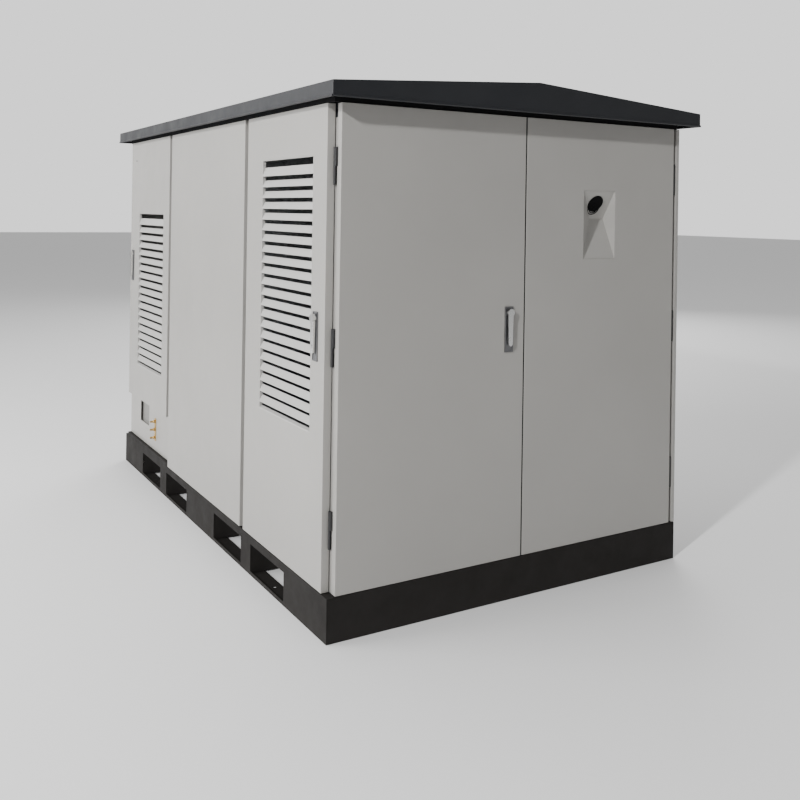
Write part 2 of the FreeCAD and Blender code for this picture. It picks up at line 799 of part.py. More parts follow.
def louvre(rows):
    """A cassette of sloping blades in a shallow frame. Local: outer face at x = 0, blades along +Y."""
    body = doc.addObject("PartDesign::Body", "Louvre")
    high = "(louvre_pitch * %d + louvre_head)" % rows
    rim = outline(body, "Rim", "YZ_Plane", [(0, 0), ("louvre_width", 0), ("louvre_width", high), (0, high)])
    pad(body, "Frame", rim, "louvre_depth")
    hollow = outline(body, "Hollow", "YZ_Plane",
                     [("louvre_sheet", "louvre_sheet"), ("louvre_width - louvre_sheet", "louvre_sheet"),
                      ("louvre_width - louvre_sheet", high + " - louvre_sheet"),
                      ("louvre_sheet", high + " - louvre_sheet")])
    pocket(body, "Window", hollow, "louvre_depth", back=True)
    pad(body, "Lowest", blade_section(body, "Foot", "louvre_sheet / 2", "blade_rise - blade_drop"),
        "louvre_width", back=True)
    middle = blade_section(body, "Blade", "louvre_pitch - blade_drop", "louvre_pitch - blade_drop + blade_rise")
    second = pad(body, "Second", middle, "louvre_width", back=True)
    doc.recompute()
    pattern(body, "Rows", second, (middle, ["V_Axis"]), "louvre_pitch", rows - 2)
    start = "louvre_pitch * %d - blade_drop" % (rows - 1)
    pad(body, "Highest", blade_section(body, "Head", start, start + " + blade_rise + top_blade_extra"),
        "louvre_width", back=True)
    return body


def blade_section(body, title, start, end):
    """A blade seen from its end: a short upright lip at the face, then a slope up to the cassette's back."""
    inner = "(louvre_depth - louvre_sheet)"
    return outline(body, title, "XZ_Plane",
                   [(0, start), ("louvre_sheet", start), ("louvre_sheet", start + " + blade_lip - louvre_sheet"),
                    (inner, end), (inner, end + " + louvre_sheet"), (0, start + " + blade_lip")])


def build_louvres():
    near = place(louvre(NEAR_ROWS), "-half_width", "near_door_start + near_louvre_start",
                 "near_louvre_low")
    name("louvre_left_front", near)
    far = place(louvre(FAR_ROWS), "-half_width", "far_door_start + far_louvre_start",
                "far_louvre_low")
    name("louvre_left_rear", far)


# ---------------------------------------------------------------- handles

def handle_plate():
    """The long dished plate of a handle. Local: door face at y = 0, outward is -Y, spindle at the origin."""
    low = "pivot_top - handle_height"
    plate = box("-handle_width / 2", "-handle_plate", low, "handle_width", "handle_plate", "handle_height")
    dish = box("2 * door_sheet - handle_width / 2", "-2 * handle_plate", low + " + 2 * door_sheet",
               "handle_width - 4 * door_sheet", "1.5 * handle_plate", "handle_height - 4 * door_sheet")
    collar = cylinder(0, "-handle_plate", 0, "boss_radius", "handle_plate", "y")
    hole = cylinder(0, "-2 * handle_plate", 0, "spindle_radius + spindle_clear", "3 * handle_plate", "y")
    return cut(fuse(cut(plate, dish), collar), hole)


def handle_lever():
    """The lever with its boss, its key barrel, its spindle through the door and the cam behind the sheet."""
    front = "-handle_plate - lever_gap - lever_thick"
    body = doc.addObject("PartDesign::Body", "Lever")
    half = "lever_width / 2"
    profile = outline(body, "Bar", "XZ_Plane",
                      [("-" + half, 0), ("tip_taper - " + half, "tip_height - lever_length"),
                       ("tip_corner - " + half, "-lever_length"), (half + " - tip_corner", "-lever_length"),
                       (half + " - tip_taper", "tip_height - lever_length"), (half, 0)])
    pad(body, "Blade", profile, "lever_thick")
    place(body, 0, "-handle_plate - lever_gap", 0)
    boss = cylinder(0, front + " - lever_gap", 0, "boss_radius", "lever_thick + 2 * lever_gap - spindle_clear",
                    "y")
    key = cylinder(0, front + " - lever_gap / 2", "-key_drop", "key_radius", "lever_thick", "y")
    spindle = cylinder(0, "-handle_plate - lever_gap", 0, "spindle_radius",
                       "handle_plate + lever_gap + door_sheet + cam_gap + cam_thick", "y")
    cam = box("-cam_width / 2", "door_sheet + cam_gap", "-cam_length", "cam_width", "cam_thick",
              "cam_length + cam_width / 2")
    return fuse(body, boss, key, spindle, cam)


def stand(thing, angle, x, y, z):
    """A wrapped copy that turns about Z and stands at a formula's place."""
    holder = doc.addObject("Part::Compound", "Placed")
    holder.Links = [thing]
    turn(holder, (0, 0, 1), angle)
    return place(holder, x, y, z)


def build_handles():
    x, z = leaf_handle_place()
    places = [("front", 0, x, "-half_length", z)]
    y, z = near_handle_place()
    places.append(("left_front", -90, "-half_width", y, z))
    y, z = far_handle_place()
    places.append(("left_rear", -90, "-half_width", y, z))
    x, z = leaf_handle_place()
    places.append(("rear", 180, x, "half_length", z))
    for label, angle, x, y, z in places:
        name("handle_plate_" + label, stand(handle_plate(), angle, x, y, z))
        name("handle_lever_" + label, stand(handle_lever(), angle, x, y, z))


# ---------------------------------------------------------------- hopper and port

def wedge(grow, front, depth):
    """A block that narrows to a short level land at its back. grow widens its mouth on every side."""
    shape = doc.addObject("Part::Wedge", "Hopper")
    high = "(scoop_upper + scoop_land + scoop_lower)"
    sizes = {
        "Xmin": "-%s" % grow, "Xmax": "scoop_width + %s" % grow,
        "Zmin": "-%s" % grow, "Zmax": "%s + %s" % (high, grow),
        "Ymin": front, "Ymax": depth,
        "X2min": "scoop_taper_left - %s" % grow, "X2max": "scoop_width - scoop_taper_right + %s" % grow,
        "Z2min": "scoop_lower - %s" % grow, "Z2max": "scoop_lower + scoop_land + %s" % grow,
    }
    for side, formula in sizes.items():
        shape.setExpression(side, bound(formula))
    return place(shape, "leaf_gap / 2 + scoop_start", "-half_length", "scoop_low")


PORT_LEAN = "atan((scoop_depth - door_sheet) / scoop_upper)"


def lean(thing, x, y, z):
    """Points an object along the normal of the hopper's upper face, outwards and down."""
    thing.Placement = FreeCAD.Placement(FreeCAD.Vector(), FreeCAD.Rotation(FreeCAD.Vector(1, 0, 0), 90))
    thing.setExpression("Placement.Rotation.Angle", bound("90 deg + " + PORT_LEAN))
    return place(thing, x, y, z)


def port_middle():
    """The middle of the hopper's upper face."""
    x = "leaf_gap / 2 + scoop_start + scoop_width * port_across"
    y = "door_sheet + (scoop_depth - door_sheet) * (1 - port_share) - half_length"
    z = "scoop_low + scoop_lower + scoop_land + scoop_upper * port_share"
    return x, y, z


def leaning_disc(radius, height):
    disc = doc.addObject("Part::Cylinder", "Disc")
    disc.setExpression("Radius", bound(radius))
    disc.setExpression("Height", bound(height))
    return lean(disc, *port_middle())


def build_hopper():
    """The sheet hopper behind the front right leaf, and the round port in its upper face."""
    shell = cut(wedge("door_sheet", "door_sheet", "scoop_depth + door_sheet"),
                wedge("0", "door_sheet", "scoop_depth"))
    bore = stand_back("port_radius + port_clear", "4 * port_depth", "-2 * port_depth")
    name("hopper", cut(shell, bore))
    flange = leaning_disc("port_radius + port_flange", "port_flange / 2")
    plug = stand_back("port_radius", "port_depth", "-port_depth")
    name("hopper_port", fuse(flange, plug))


def stand_back(radius, height, start):
    """A leaning disc that starts at a distance along its own axis from the middle of the upper face."""
    disc = doc.addObject("Part::Cylinder", "Disc")
    disc.setExpression("Radius", bound(radius))
    disc.setExpression("Height", bound(height))
    x, y, z = port_middle()
    return lean(disc, x, "%s - cos(%s) * (%s)" % (y, PORT_LEAN, start),
                "%s - sin(%s) * (%s)" % (z, PORT_LEAN, start))


# ---------------------------------------------------------------- roof

def build_roof():
    """The low gable roof: two slopes, a fascia all round and a rolled rim along its lower edge."""
    body = doc.addObject("PartDesign::Body", "Gable")
    wide = "roof_half_width"
    gable = outline(body, "Outside", "XZ_Plane",
                    [("-" + wide, "rim_bottom"), (wide, "rim_bottom"), (wide, "eave_top"), (0, "ridge_top"),
                     ("-" + wide, "eave_top")])
    pad(body, "Shell", gable, "2 * roof_half_length", middle=True)
    inset = "(roof_half_width - roof_sheet)"
    hollow = outline(body, "Inside", "XZ_Plane",
                     [("-" + inset, "rim_bottom - roof_sheet"), (inset, "rim_bottom - roof_sheet"),
                      (inset, "eave_top - roof_sheet"), (0, "ridge_top - roof_sheet"),
                      ("-" + inset, "eave_top - roof_sheet")])
    pocket(body, "Space", hollow, "2 * (roof_half_length - roof_sheet)", middle=True)
    rolls = []
    for x in ("-roof_half_width", "roof_half_width"):
        rolls.append(cylinder(x, "-roof_half_length", "rim_bottom", "rim_radius", "2 * roof_half_length", "y"))
    for y in ("-roof_half_length", "roof_half_length"):
        rolls.append(cylinder("-roof_half_width", y, "rim_bottom", "rim_radius", "2 * roof_half_width", "x"))
    name("roof", fuse(body, *rolls))


# ---------------------------------------------------------------- transformer


def tank():
    """The oil tank: a welded box on two feet, with a row of cooling fins on each long side."""
    x = "-tank_width / 2"
    y = "-tank_length / 2"
    outer = box(x, y, "tank_bottom", "tank_width", "tank_length", "tank_height")
    inner = box(x + " + tank_wall", y + " + tank_wall", "tank_bottom + tank_wall",
                "tank_width - 2 * tank_wall", "tank_length - 2 * tank_wall", "tank_height")
    fins = []
    for step in range(FIN_COUNT):
        along = "fin_pitch * %.1f - fin_thick / 2" % (step - (FIN_COUNT - 1) / 2)
        fin = box(along, "%s - fin_reach" % y, "tank_bottom + fin_inset", "fin_thick", "fin_reach",
                  "tank_height - 2 * fin_inset")
        fins += [fin, mirror(fin, ALONG)]
    feet = []
    for side in ("-tank_width / 3 - tank_feet / 2", "tank_width / 3 - tank_feet / 2"):
        feet.append(box(side, y + " - fin_reach / 2", "floor_top", "tank_feet", "tank_length + fin_reach",
                        "tank_feet"))
    return group(cut(outer, inner), *fins, *feet)


def bushing(x, y, height, radius, shed, sheds):
    """A ceramic insulator on the cover: a stem with sheds, and a terminal stud on top."""
    stem = cylinder(x, y, "cover_top", radius, height + " * stem_share")
    stud = cylinder(x, y, "cover_top", radius + " * stud_share", height)
    rings = [cylinder(x, y, "cover_top + %s * (first_shed + shed_span * %d / %d)" % (height, step, sheds), shed,
                      height + " * shed_share") for step in range(sheds)]
    return fuse(stem, stud, *rings)


def core():
    """The three limbs and two yokes of the core, standing on the tank's floor."""
    low = "tank_bottom + tank_wall"
    yokes = [box("-core_width / 2", "-core_limb / 2", low, "core_width", "core_limb", "core_limb"),
             box("-core_width / 2", "-core_limb / 2", low + " + core_height - core_limb", "core_width",
                 "core_limb", "core_limb")]
    limbs = [box("%d * (core_limb + core_window) - core_limb / 2" % step, "-core_limb / 2", low, "core_limb",
                 "core_limb", "core_height") for step in (-1, 0, 1)]
    return fuse(*yokes, *limbs)


def coil(step):
    """The windings of one phase: a tube round its limb, standing on the lower yoke."""
    x = "%d * (core_limb + core_window)" % step
    low = "tank_bottom + tank_wall + core_limb"
    tall = "(core_height - 2 * core_limb - coil_margin)"
    outer = cylinder(x, 0, low, "coil_inner + coil_wall", tall)
    inner = cylinder(x, 0, low + " - coil_margin", "coil_inner", "core_height")
    return cut(outer, inner)


def build_transformer():
    name("transformer_tank", tank())
    cover = box("-tank_width / 2 - cover_lap", "-tank_length / 2 - cover_lap", "tank_top",
                "tank_width + 2 * cover_lap", "tank_length + 2 * cover_lap", "cover_plate")
    name("transformer_cover", cover)
    name("transformer_core", core())
    name("transformer_windings", group(*[coil(step) for step in (-1, 0, 1)]))
    high = [bushing("%d * hv_bushing_pitch" % step, "bushing_offset", "hv_bushing_height",
                    "hv_bushing_radius", "hv_shed_radius", HIGH_SHEDS) for step in (-1, 0, 1)]
    name("high_voltage_bushings", group(*high))
    low = [bushing("%.1f * lv_bushing_pitch" % step, "-bushing_offset", "lv_bushing_height",
                   "lv_bushing_radius", "lv_shed_radius", LOW_SHEDS) for step in LOW_PLACES]
    name("low_voltage_bushings", group(*low))
    knob = cylinder("tap_offset", 0, "cover_top", "tap_radius", "tap_height")
    grip = box("tap_offset - tap_radius", "-tap_grip_width / 2", "cover_top", "2 * tap_radius",
               "tap_grip_width", "tap_grip_height")
    name("tap_changer_knob", fuse(knob, grip))


# ---------------------------------------------------------------- low-voltage board


def build_board():
    """The board on its feet, the main isolator, the fuse strips and the four bars to the bushings."""
    back = "board_place"
    foot = "floor_top"
    sheet_z = "(floor_top + board_foot)"
    plate = box("-board_width / 2", back, sheet_z, "board_width", "board_sheet", "board_height")
    left = box("-board_width / 2", back, foot, "board_sheet", "board_flange", "board_height + board_foot")
    right = mirror(left, ACROSS)
    case = box("-isolator_width / 2", back + " - isolator_depth",
               sheet_z + " + board_height - isolator_top - isolator_height", "isolator_width",
               "isolator_depth", "isolator_height")
    slots = []
    for step in LOW_PLACES:
        slots.append(box("%.1f * lv_bushing_pitch - bar_thick" % step, back + " - board_sheet",
                         "bar_level - bar_height / 2", "2 * bar_thick", "3 * board_sheet", "2 * bar_height"))
    name("board", cut(fuse(plate, left, right, case), *slots))
    strips = []
    for step in range(STRIP_COUNT):
        x = "strip_pitch * %.1f - strip_width / 2" % (step - (STRIP_COUNT - 1) / 2)
        strips.append(box(x, back + " - strip_depth", sheet_z + " + strip_bottom", "strip_width",
                          "strip_depth", "strip_height"))
    name("fuse_strips", group(*strips))
    bars = []
    for step in LOW_PLACES:
        bars.append(box("%.1f * lv_bushing_pitch - bar_thick / 2" % step, back + " + board_sheet", "bar_level",
                        "bar_thick", "-(%s) - board_sheet - bushing_offset + lv_bushing_radius" % back,
                        "bar_height"))
    name("busbars", group(*bars))
    x, y, z = switch_axis()
    hub = cylinder(x, y + " - switch_radius - seat_gap", z, "switch_radius", "switch_radius", "y")
    grip = box("-switch_radius / 2", y + " - 2 * switch_radius - seat_gap", z + " - switch_radius / 2",
               "switch_radius", "switch_radius", "switch_length")
    name("isolator_lever", fuse(hub, grip))


def switch_axis():
    """Where the isolator's lever turns, on the face of its case."""
    z = "floor_top + board_foot + board_height - isolator_top - isolator_height / 2"
    return "0", "board_place - isolator_depth", z


# ---------------------------------------------------------------- ring-main unit

def build_ring_unit():
    """The high-voltage switch unit, its lever and the three cables to the bushings."""
    case = box("-ring_width / 2", "ring_front", "floor_top", "ring_width", "ring_length", "ring_height")
    inside = box("ring_sheet - ring_width / 2", "ring_front + ring_sheet", "floor_top - ring_sheet",
                 "ring_width - 2 * ring_sheet", "ring_length - 2 * ring_sheet", "ring_height")
    name("ring_main_unit", cut(case, inside))
    face = "ring_front + ring_length"
    level = "floor_top + ring_lever_rise"
    hub = cylinder(0, face + " + seat_gap", level, "switch_radius", "switch_radius", "y")
    grip = box("-switch_radius / 2", face + " + seat_gap + switch_radius", level + " - switch_radius / 2",
               "switch_radius", "switch_radius", "ring_lever_length")
    name("ring_main_lever", fuse(hub, grip))
    name("high_voltage_cables", group(*[cable(step) for step in (-1, 0, 1)]))


def cable(step):
    """One cable: up from its bushing, over on a quarter bend, back through the bulkhead and down again."""
    size = {alias: float(sheet.get(alias)) for alias in ("cable_radius", "cable_bend", "hv_bushing_pitch",
                                                         "bushing_offset", "cable_level", "ring_front",
                                                         "ring_length", "floor_top", "ring_height")}
    x = step * size["hv_bushing_pitch"]
    bend = size["cable_bend"]
    low = size["cable_level"]
    start = size["bushing_offset"]
    finish = size["ring_front"] + size["ring_length"] / 3
    end = size["floor_top"] + size["ring_height"]
    half = bend / 2 ** 0.5
    first = Part.Arc(FreeCAD.Vector(x, start, low), FreeCAD.Vector(x, start + bend - half, low + half),
                     FreeCAD.Vector(x, start + bend, low + bend))
    run = Part.LineSegment(FreeCAD.Vector(x, start + bend, low + bend), FreeCAD.Vector(x, finish - bend,
                                                                                     low + bend))
    last = Part.Arc(FreeCAD.Vector(x, finish - bend, low + bend),
                    FreeCAD.Vector(x, finish - bend + half, low + half), FreeCAD.Vector(x, finish, low))
    route = [first.toShape(), run.toShape(), last.toShape()]
    if low > end:
        route.append(Part.LineSegment(FreeCAD.Vector(x, finish, low), FreeCAD.Vector(x, finish, end)).toShape())
    circle = Part.Circle(FreeCAD.Vector(x, start, low), FreeCAD.Vector(0, 0, 1), size["cable_radius"])
    ring = Part.Wire([circle.toShape()])
    tube = Part.Wire(route).makePipeShell([ring], True, False)
    thing = doc.addObject("Part::Feature", "Cable")
    thing.Shape = tube
    return thing


def build_earth():
    """A brass bar on the low panel's face, with three studs for the earthing lugs."""
    face = "(lower_panel_inset - half_width)"
    y = "(far_door_start + earth_start)"
    z = "(base_height + kerb_height + lower_panel_height / 2)"
    bar = box(face + " - handle_plate", y + " - earth_width / 2", z + " - earth_height / 2", "handle_plate",
              "earth_width", "earth_height")
    studs = [cylinder(face + " - handle_plate - earth_stud_length", y, z + " + %d * earth_stud_pitch" % step,
                      "spindle_radius", "handle_plate + earth_stud_length", "x") for step in (-1, 0, 1)]
    name("earth_terminal", fuse(bar, *studs))


# ---------------------------------------------------------------- check and write

def check_and_write():
    """Stops at any failed object or bad shape, then writes one STEP file for each sub-part."""
    doc.recompute()
    for thing in doc.Objects:
        for word in thing.State:
            if word in ("Invalid", "Error"):
                raise RuntimeError("%s (%s) is %s" % (thing.Name, thing.Label, word))
    os.makedirs("parts", exist_ok=True)
    for thing in sub_parts:
        if thing.Shape.isNull() or not thing.Shape.isValid() or not thing.Shape.Solids:
            raise RuntimeError("bad shape: " + thing.Label)
    for thing in sub_parts:
        thing.Shape.exportStep(os.path.join("parts", thing.Label + ".step"))
    print("wrote %d sub-parts" % len(sub_parts))


fill_sheet()
build_skid()
build_floors()
build_posts()
build_rails()
build_panels()
build_hoods()
build_hinges()
build_end_doors()
build_side_doors()
build_louvres()
build_handles()
build_hopper()
build_roof()
build_transformer()
build_board()
build_ring_unit()
build_earth()
check_and_write()
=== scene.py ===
import json
import math

import bmesh
import bpy
import numpy as np
from mathutils import Matrix, Vector


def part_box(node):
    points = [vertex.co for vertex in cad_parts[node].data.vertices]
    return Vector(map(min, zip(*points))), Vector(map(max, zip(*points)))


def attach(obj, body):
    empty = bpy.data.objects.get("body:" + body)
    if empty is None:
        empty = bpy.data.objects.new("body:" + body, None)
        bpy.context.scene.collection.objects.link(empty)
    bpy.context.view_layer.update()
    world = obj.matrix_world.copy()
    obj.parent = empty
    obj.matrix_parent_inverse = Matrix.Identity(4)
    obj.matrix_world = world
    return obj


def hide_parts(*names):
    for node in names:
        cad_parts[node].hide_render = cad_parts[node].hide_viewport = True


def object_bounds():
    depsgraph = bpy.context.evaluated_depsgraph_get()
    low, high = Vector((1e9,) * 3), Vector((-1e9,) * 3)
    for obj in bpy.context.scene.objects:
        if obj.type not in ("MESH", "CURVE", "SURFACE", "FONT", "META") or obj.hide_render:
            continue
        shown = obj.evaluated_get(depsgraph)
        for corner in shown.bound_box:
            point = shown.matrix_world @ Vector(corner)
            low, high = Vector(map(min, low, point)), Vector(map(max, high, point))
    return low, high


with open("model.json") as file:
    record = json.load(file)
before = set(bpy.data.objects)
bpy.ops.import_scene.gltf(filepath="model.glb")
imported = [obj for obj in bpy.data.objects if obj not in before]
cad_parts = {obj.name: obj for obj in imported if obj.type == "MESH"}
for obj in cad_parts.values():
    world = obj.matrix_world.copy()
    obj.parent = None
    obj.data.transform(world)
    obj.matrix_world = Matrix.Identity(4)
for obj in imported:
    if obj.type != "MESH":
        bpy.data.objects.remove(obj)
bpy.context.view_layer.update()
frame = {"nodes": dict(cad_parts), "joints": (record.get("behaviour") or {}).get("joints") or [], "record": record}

BODY_OF = {node: body for body, nodes in frame["record"]["behaviour"]["bodies"].items() for node in nodes}
MM = 0.001  # of a metre


# ------------------------------------------------------------------ camera, floor and light

def set_camera():
    """A standing eye to the left of the front end. The place is counted from the skid's near corner."""
    eye = Vector((-1.6585, -3.3183, 1.7408))
    yaw, pitch, roll = (math.radians(angle) for angle in (30.737, 0.077, 0.854))
    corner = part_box("skid_rail_left")[0]
    camera = bpy.data.objects.new("camera", bpy.data.cameras.new("camera"))
    bpy.context.collection.objects.link(camera)
    forward = Vector((math.sin(yaw) * math.cos(pitch), math.cos(yaw) * math.cos(pitch), math.sin(pitch)))
    level = Vector((math.cos(yaw), -math.sin(yaw), 0))
    above = level.cross(forward)
    right = level * math.cos(roll) + above * math.sin(roll)
    up = above * math.cos(roll) - level * math.sin(roll)
    turn = Matrix((right, up, -forward)).transposed().to_4x4()
    camera.matrix_world = Matrix.Translation(corner + eye) @ turn
    camera.data.lens = 41.634
    camera.data.sensor_width = 36
    camera.data.shift_y = -0.2375
    camera.data.clip_end = 200
    bpy.context.scene.camera = camera


def add_soft_box(name, place, target_height, size, power):
    """A square lamp that looks from its place to a point above the middle of the floor."""
    lamp = bpy.data.lights.new(name, "AREA")
    lamp.shape = "SQUARE"
    lamp.size = size
    lamp.energy = power
    box = bpy.data.objects.new(name, lamp)
    bpy.context.collection.objects.link(box)
    box.location = place
    target = Vector((0, 0, target_height))
    box.rotation_euler = (target - Vector(place)).to_track_quat("-Z", "Y").to_euler()


def set_surround():
    """A white surround that is brighter behind the kiosk, as a lit studio wall is, than in front of it."""
    behind = (0.51, 0.86, 0.0)
    dim, bright = 0.25, 1.3
    world = bpy.data.worlds.new("studio")
    world.use_nodes = True
    tree = world.node_tree
    background = tree.nodes["Background"]
    background.inputs["Color"].default_value = (1.0, 1.0, 1.0, 1)
    along = tree.nodes.new("ShaderNodeVectorMath")
    along.operation = "DOT_PRODUCT"
    along.inputs[1].default_value = behind
    tree.links.new(tree.nodes.new("ShaderNodeTexCoord").outputs["Generated"], along.inputs[0])
    level = tree.nodes.new("ShaderNodeMapRange")
    level.interpolation_type = "SMOOTHSTEP"
    level.inputs["From Min"].default_value = 0.1
    level.inputs["From Max"].default_value = 0.8
    level.inputs["To Min"].default_value = dim
    level.inputs["To Max"].default_value = bright
    tree.links.new(along.outputs["Value"], level.inputs["Value"])
    tree.links.new(level.outputs["Result"], background.inputs["Strength"])
    bpy.context.scene.world = world


# Each lamp's place, the height it looks at, its size in metres and its power in watts.
SOFT_BOXES = {
    "key": ((-9.2, -5.8, 6.3), 1.1, 0.5, 1300),
    "side": ((-8.5, 2.5, 3.2), 1.2, 5.0, 690),
    "overhead": ((-1.0, 0.0, 9.0), 1.0, 6.0, 180),
    "back": ((7.0, 8.0, 5.0), 1.0, 5.0, 500),
}


def set_stage():
    """A pale floor, the surround and four lamps; the strongest is small and high on the left, in front."""
    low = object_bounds()[0].z
    reach = 60
    corners = [(-reach, -reach, low), (reach, -reach, low), (reach, reach, low), (-reach, reach, low)]
    mesh = bpy.data.meshes.new("floor")
    mesh.from_pydata(corners, [], [(0, 1, 2, 3)])
    floor = bpy.data.objects.new("floor", mesh)
    bpy.context.collection.objects.link(floor)
    paint = bpy.data.materials.new("studio floor")
    paint.use_nodes = True
    shader = paint.node_tree.nodes["Principled BSDF"]
    shader.inputs["Base Color"].default_value = (0.86, 0.86, 0.86, 1)
    shader.inputs["Roughness"].default_value = 0.7
    mesh.materials.append(paint)
    set_surround()
    for name, settings in SOFT_BOXES.items():
        add_soft_box(name, *settings)


# ------------------------------------------------------------------ materials

def tint(colour, factor):
    """A colour made darker or lighter by a factor."""
    return tuple(min(1.0, part * factor) for part in colour)


class Finish:
    """A material under construction: its nodes, its shader and its Object coordinates."""

    def __init__(self, name):
        self.material = bpy.data.materials.new(name)
        self.material.use_nodes = True
        self.tree = self.material.node_tree
        self.shader = self.tree.nodes["Principled BSDF"]
        self.place = self.tree.nodes.new("ShaderNodeTexCoord").outputs["Object"]

    def set(self, **values):
        """Constants on the shader's own sockets, named as the sockets are."""
        for name, value in values.items():
            self.shader.inputs[name.replace("_", " ")].default_value = value

    def join(self, output, socket):
        self.tree.links.new(output, socket)

    def stretch(self, scale):
        """Object coordinates scaled by a different number along each axis."""
        node = self.tree.nodes.new("ShaderNodeMapping")
        node.inputs["Scale"].default_value = scale
        self.join(self.place, node.inputs["Vector"])
        return node.outputs["Vector"]

    def noise(self, scale, detail=2.0, rough=0.5, vector=None):
        """A cloudy factor around one half."""
        node = self.tree.nodes.new("ShaderNodeTexNoise")
        node.inputs["Scale"].default_value = scale
        node.inputs["Detail"].default_value = detail
        node.inputs["Roughness"].default_value = rough
        self.join(vector or self.place, node.inputs["Vector"])
        return node.outputs["Fac"]

    def cells(self, scale):
        """A different flat colour in each cell."""
        node = self.tree.nodes.new("ShaderNodeTexVoronoi")
        node.inputs["Scale"].default_value = scale
        self.join(self.place, node.inputs["Vector"])
        return node.outputs["Color"]

    def ramp(self, factor, *stops):
        """Colours at places from 0 to 1 along a factor."""
        node = self.tree.nodes.new("ShaderNodeValToRGB")
        points = node.color_ramp.elements
        while len(points) < len(stops):
            points.new(0.5)
        for point, (spot, colour) in zip(points, stops):
            point.position = spot
            point.color = (*colour, 1)
        self.join(factor, node.inputs["Fac"])
        return node.outputs["Color"]

    def drift(self, factor, colour, darker, lighter):
        """A colour that goes along a factor from a darker to a lighter tone of itself."""
        return self.ramp(factor, (0.3, tint(colour, darker)), (0.7, tint(colour, lighter)))

    def span(self, factor, low, high, start=0.0, end=1.0):
        """A factor carried from one range of numbers to another."""
        node = self.tree.nodes.new("ShaderNodeMapRange")
        node.inputs["From Min"].default_value = start
        node.inputs["From Max"].default_value = end
        node.inputs["To Min"].default_value = low
        node.inputs["To Max"].default_value = high
        self.join(factor, node.inputs["Value"])
        return node.outputs["Result"]

    def cover(self, factor, under, over):
        """A pattern with a plain colour laid over it, as much as the factor says."""
        node = self.tree.nodes.new("ShaderNodeMix")
        node.data_type = "RGBA"
        share, first, second = node.inputs[0], node.inputs[6], node.inputs[7]
        self.join(factor, share)
        self.join(under, first)
        second.default_value = (*over, 1)
        return node.outputs[2]

    def height(self):
        """The height above the ground, in metres."""
        node = self.tree.nodes.new("ShaderNodeSeparateXYZ")
        self.join(self.place, node.inputs["Vector"])
        return node.outputs["Z"]

    def colour(self, output):
        self.join(output, self.shader.inputs["Base Color"])

    def roughness(self, output):
        self.join(output, self.shader.inputs["Roughness"])

    def bump(self, factor, strength, depth):
        """A relief of a factor, as deep as given in metres."""
        node = self.tree.nodes.new("ShaderNodeBump")
        node.inputs["Strength"].default_value = strength
        node.inputs["Distance"].default_value = depth
        self.join(factor, node.inputs["Height"])
        self.join(node.outputs["Normal"], self.shader.inputs["Normal"])


def powder_coat(name, colour, rough, peel=0.10):
    """Baked powder paint: a fine orange peel, a slow drift of tone and patches a little duller."""
    finish = Finish(name)
    finish.colour(finish.drift(finish.noise(1.3, 3, 0.55), colour, 0.96, 1.03))
    finish.roughness(finish.span(finish.noise(5.0, 5, 0.6), rough - 0.05, rough + 0.07, 0.3, 0.7))
    finish.bump(finish.noise(520.0, 2), peel, 0.0004)
    finish.set(Specular_IOR_Level=0.5)
    return finish.material


def skid_paint():
    """Thick dark paint on bent plate, with dust that settles towards the ground."""
    finish = Finish("charcoal skid paint")
    tone = (0.0150, 0.0136, 0.0126)
    dust_tone = (0.03, 0.027, 0.025)
    paint = finish.drift(finish.noise(3.0, 5, 0.6), tone, 0.85, 1.15)
    dust = finish.span(finish.height(), 0.22, 0.0, 0.0, 0.10)
    finish.colour(finish.cover(dust, paint, dust_tone))
    finish.roughness(finish.span(finish.noise(9.0, 5, 0.65), 0.62, 0.8, 0.3, 0.7))
    finish.bump(finish.noise(260.0, 3), 0.2, 0.0006)
    finish.set(Specular_IOR_Level=0.16)
    return finish.material


def roof_paint():
    """Blue-black satin paint on the roof sheet."""
    finish = Finish("blue-black roof paint")
    tone = (0.0105, 0.0115, 0.0140)
    finish.colour(finish.drift(finish.noise(1.8, 4, 0.6), tone, 0.88, 1.15))
    finish.roughness(finish.span(finish.noise(7.0, 5, 0.6), 0.36, 0.52, 0.3, 0.7))
    finish.bump(finish.noise(420.0, 2), 0.14, 0.0005)
    return finish.material


def zinc():
    """Hot-dip zinc: crystals of a few tones, each with its own gloss."""
    finish = Finish("spangled zinc")
    crystals = finish.cells(70.0)
    finish.colour(finish.ramp(crystals, (0.0, (0.40, 0.42, 0.44)), (1.0, (0.60, 0.62, 0.64))))
    finish.roughness(finish.span(crystals, 0.32, 0.55))
    finish.bump(finish.noise(90.0, 3), 0.08, 0.0004)
    finish.set(Metallic=0.85)
    return finish.material


def bright_nickel():
    """Polished nickel plate with faint rubbing marks along the lever."""
    finish = Finish("bright nickel")
    marks = finish.noise(40.0, 4, 0.6, finish.stretch((14.0, 14.0, 1.0)))
    finish.colour(finish.ramp(marks, (0.2, (0.62, 0.62, 0.61)), (0.8, (0.80, 0.80, 0.79))))
    finish.roughness(finish.span(marks, 0.12, 0.26, 0.3, 0.7))
    finish.bump(marks, 0.03, 0.0002)
    finish.set(Metallic=1.0)
    return finish.material


def plain_surface(name, colour, rough, grain, depth, metallic=0.0, coat=0.0, gloss=0.5):
    """A moulded, cast or ground surface: its tone drifts, its gloss varies and its grain has depth."""
    finish = Finish(name)
    finish.colour(finish.drift(finish.noise(4.0, 4, 0.6), colour, 0.85, 1.15))
    finish.roughness(finish.span(finish.noise(12.0, 4, 0.6), rough - 0.06, rough + 0.08, 0.3, 0.7))
    finish.bump(finish.noise(grain, 3), 0.25, depth)
    finish.set(Metallic=metallic, Coat_Weight=coat, Specular_IOR_Level=gloss)
    return finish.material


